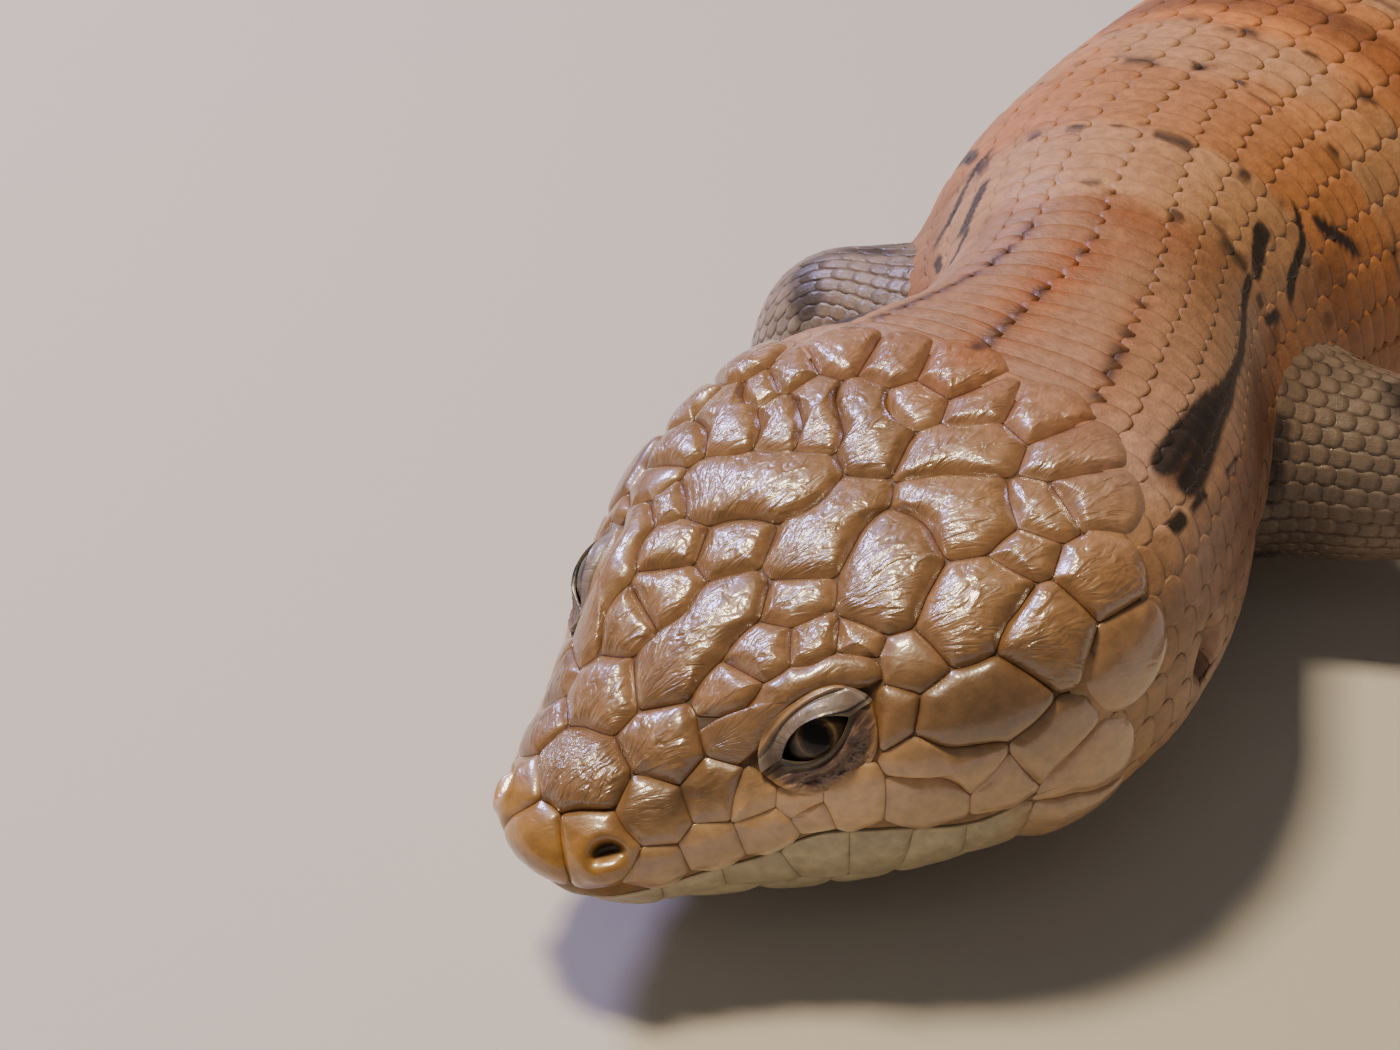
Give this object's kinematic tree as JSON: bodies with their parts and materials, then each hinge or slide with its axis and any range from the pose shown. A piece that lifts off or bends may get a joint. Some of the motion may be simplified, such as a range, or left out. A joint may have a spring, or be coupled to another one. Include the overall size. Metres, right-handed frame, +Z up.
{
  "type": "blue-tongued skink",
  "caption": "Life-size blue-tongued skink as a still model: stout scaled body, broad wedge head with raised shields, short splayed clawed legs, tapering tail.",
  "frame": {"origin": "middle of the flat of the belly, on the floor, 205 mm behind the snout along the spine", "axes": "+Z up from the floor, +Y from the head towards the tail, +X to the animal's left"},
  "size_m": [0.1406, 0.5166, 0.0444],
  "materials": {
    "head_scales": "glossy horny shields, olive tan to brown",
    "jaw_scales": "smooth pale greenish cream",
    "body_scales": "smooth overlapping scales, tan with brown and pale bands",
    "limb_scales": "smooth small scales, grey brown",
    "eye": "wet dark brown iris with a round black pupil"
  },
  "bodies": {
    "root": {"head": "head_scales", "lower_jaw": "jaw_scales", "eye_left": "eye", "eye_right": "eye", "neck": "body_scales", "torso_front": "body_scales", "torso_rear": "body_scales", "tail_base": "body_scales", "tail_middle": "body_scales", "tail_tip": "body_scales", "foreleg_left": "limb_scales", "foreleg_right": "limb_scales", "forefoot_left": "limb_scales", "forefoot_right": "limb_scales", "hindleg_left": "limb_scales", "hindleg_right": "limb_scales", "hindfoot_left": "limb_scales", "hindfoot_right": "limb_scales"}
  },
  "joints": []
}
